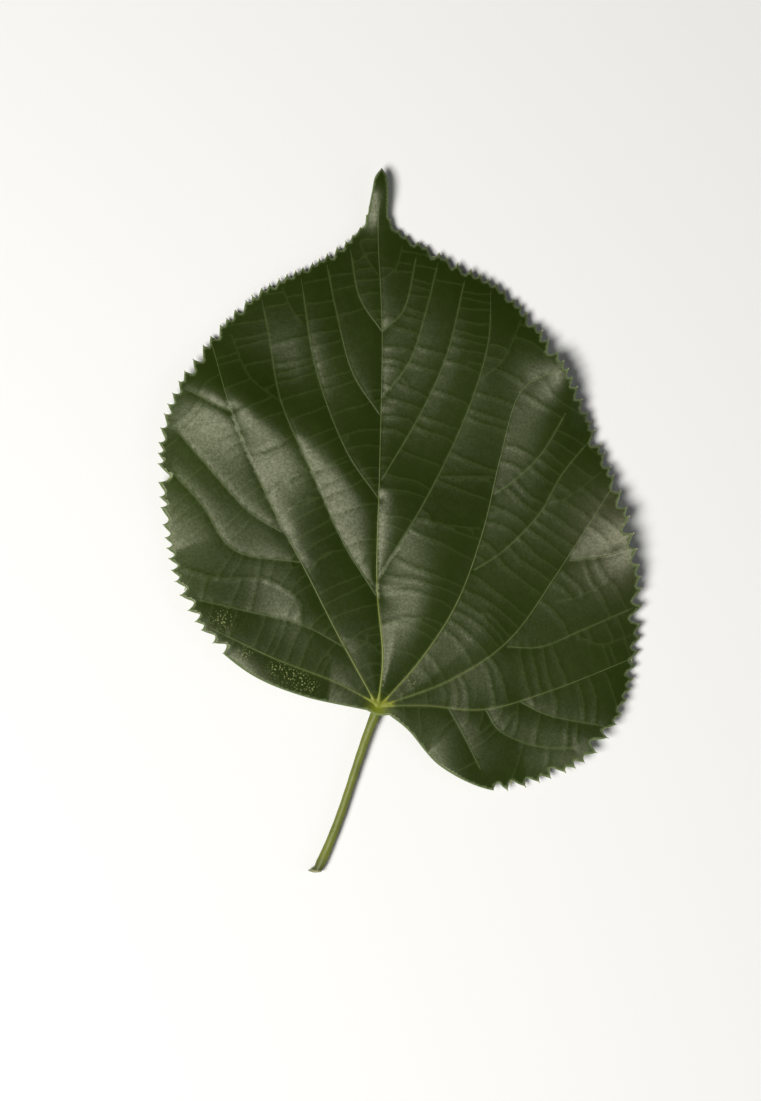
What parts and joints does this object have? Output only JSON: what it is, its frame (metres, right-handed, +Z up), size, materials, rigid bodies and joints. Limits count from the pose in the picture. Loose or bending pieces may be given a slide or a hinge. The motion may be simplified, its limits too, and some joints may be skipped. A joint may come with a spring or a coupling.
{
  "type": "linden leaf",
  "caption": "Single linden leaf as cut: heart-shaped toothed blade with an oblique base and a drip tip, raised veins below, and a short stalk with a flared foot.",
  "frame": {"origin": "on the ground under the middle of the leaf's plan", "axes": "+Y from the stalk's foot towards the drip tip, +X to the right with the upper face seen from above, +Z up out of the upper face"},
  "size_m": [0.0912, 0.133, 0.0066],
  "materials": {
    "blade": "satin",
    "knot": "satin",
    "petiole": "satin",
    "main_veins": "satin",
    "side_veins": "satin"
  },
  "bodies": {
    "root": {"blade": "blade", "knot": "knot", "petiole": "petiole", "midrib": "main_veins", "vein_left_main": "main_veins", "vein_right_main": "main_veins", "vein_right_basal": "main_veins", "vein_left_basal": "main_veins", "vein_right_lower": "main_veins", "side_vein_right_1": "side_veins", "side_vein_right_2": "side_veins", "side_vein_right_3": "side_veins", "side_vein_right_4": "side_veins", "side_vein_left_1": "side_veins", "side_vein_left_2": "side_veins", "side_vein_left_3": "side_veins", "side_vein_left_4": "side_veins", "branch_left_upper": "side_veins", "branch_left_1": "side_veins", "branch_left_2": "side_veins", "branch_left_3": "side_veins", "branch_right_1": "side_veins", "branch_right_2": "side_veins", "branch_lower_1": "side_veins", "branch_lower_2": "side_veins", "branch_basal_1": "side_veins", "branch_basal_2": "side_veins", "branch_basal_3": "side_veins"}
  },
  "joints": []
}
